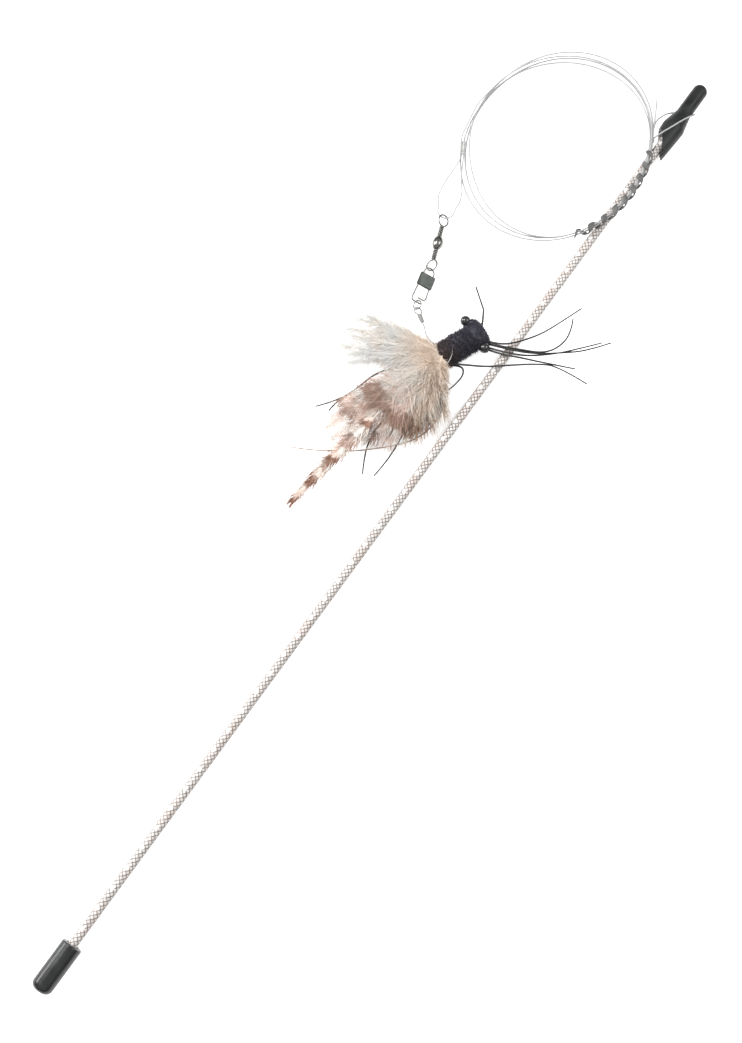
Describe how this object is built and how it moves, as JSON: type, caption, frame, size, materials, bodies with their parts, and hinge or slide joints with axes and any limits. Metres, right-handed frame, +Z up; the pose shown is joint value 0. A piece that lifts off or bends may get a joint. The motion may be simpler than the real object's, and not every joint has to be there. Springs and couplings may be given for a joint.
{
  "type": "cat teaser wand",
  "caption": "Slim clear patterned rod with soft black end caps, a tied coil of clear line at the tip, a snap swivel and a feathered insect lure, lying flat.",
  "frame": {"origin": "on the rod's axis at the butt end of the handle cap", "axes": "+X along the rod from the handle to the tip, +Y to the side where the coil and the lure lie, +Z up from the surface the wand lies on"},
  "size_m": [0.457, 0.1147, 0.0166],
  "materials": {
    "clear_tube": "clear gloss",
    "film": "glossy printed film",
    "black_vinyl": "satin soft vinyl",
    "clear_line": "clear gloss",
    "crimp_metal": "dull pressed metal",
    "tie_plastic": "satin",
    "swivel_metal": "polished nickel",
    "plate_metal": "dark pressed metal",
    "link_wire": "dark wire",
    "black_thread": "wound thread",
    "chenille": "short pile",
    "bead_plastic": "polished bead",
    "bristle": "satin fibre",
    "cream_feather": "soft barbs",
    "barred_feather": "soft barbs",
    "tan_feather": "soft barbs",
    "tail_feather": "soft barbs"
  },
  "bodies": {
    "wand": {"rod_tube": "clear_tube", "pattern_film": "film", "handle_cap": "black_vinyl", "tip_cap": "black_vinyl", "line_knot": "clear_line", "line_hitch": "clear_line", "line_tag_end": "clear_line", "line_coil": "clear_line", "line_drop": "clear_line", "crimp_sleeve": "crimp_metal", "twist_tie": "tie_plastic"},
    "upper_swivel": {"upper_eye": "swivel_metal"},
    "barrel": {"swivel_barrel": "swivel_metal"},
    "lower_swivel": {"lower_eye": "swivel_metal"},
    "snap": {"snap_frame": "swivel_metal", "snap_plate": "plate_metal"},
    "gate": {"snap_gate": "swivel_metal"},
    "ring": {"lure_ring": "swivel_metal"},
    "lure": {"lure_link": "link_wire", "link_sleeve": "black_vinyl", "shank": "link_wire", "neck_core": "black_thread", "neck_winding": "chenille", "head_dome": "black_thread", "eye_bar": "link_wire", "eye_beads": "bead_plastic", "antenna": "bristle", "whiskers": "bristle", "legs": "bristle", "cream_feathers": "cream_feather", "barred_feathers": "barred_feather", "tan_feathers": "tan_feather", "tail_feather": "tail_feather"}
  },
  "joints": [
    {"name": "line_swing", "type": "hinge", "parent": "wand", "child": "upper_swivel", "pos_m": [0.34261, 0.05648, -0.0026], "axis": [-0.3665, 0.9304, 0], "range_deg": [0, 50]},
    {"name": "barrel_spin", "type": "hinge", "parent": "upper_swivel", "child": "barrel", "pos_m": [0.33163, 0.05215, -0.0026], "axis": [-0.9304, -0.3665, 0], "continuous": true},
    {"name": "lower_eye_spin", "type": "hinge", "parent": "barrel", "child": "lower_swivel", "pos_m": [0.33163, 0.05215, -0.0026], "axis": [-0.9304, -0.3665, 0], "continuous": true},
    {"name": "snap_swing", "type": "hinge", "parent": "lower_swivel", "child": "snap", "pos_m": [0.31958, 0.04741, -0.0026], "axis": [-0.3108, 0.789, -0.5299], "range_deg": [0, 45]},
    {"name": "gate_open", "type": "hinge", "parent": "snap", "child": "gate", "pos_m": [0.31253, 0.04319, -0.00368], "axis": [0.1018, -0.3938, 0.9135], "range_deg": [0, 18]},
    {"name": "ring_swing", "type": "hinge", "parent": "snap", "child": "ring", "pos_m": [0.30468, 0.04366, -0.0026], "axis": [-0.2287, 0.8844, 0.4067], "range_deg": [0, 16]},
    {"name": "lure_swing", "type": "hinge", "parent": "ring", "child": "lure", "pos_m": [0.30218, 0.04197, -0.0026], "axis": [-0.4524, 0.6707, -0.5878], "range_deg": [0, 40]}
  ]
}
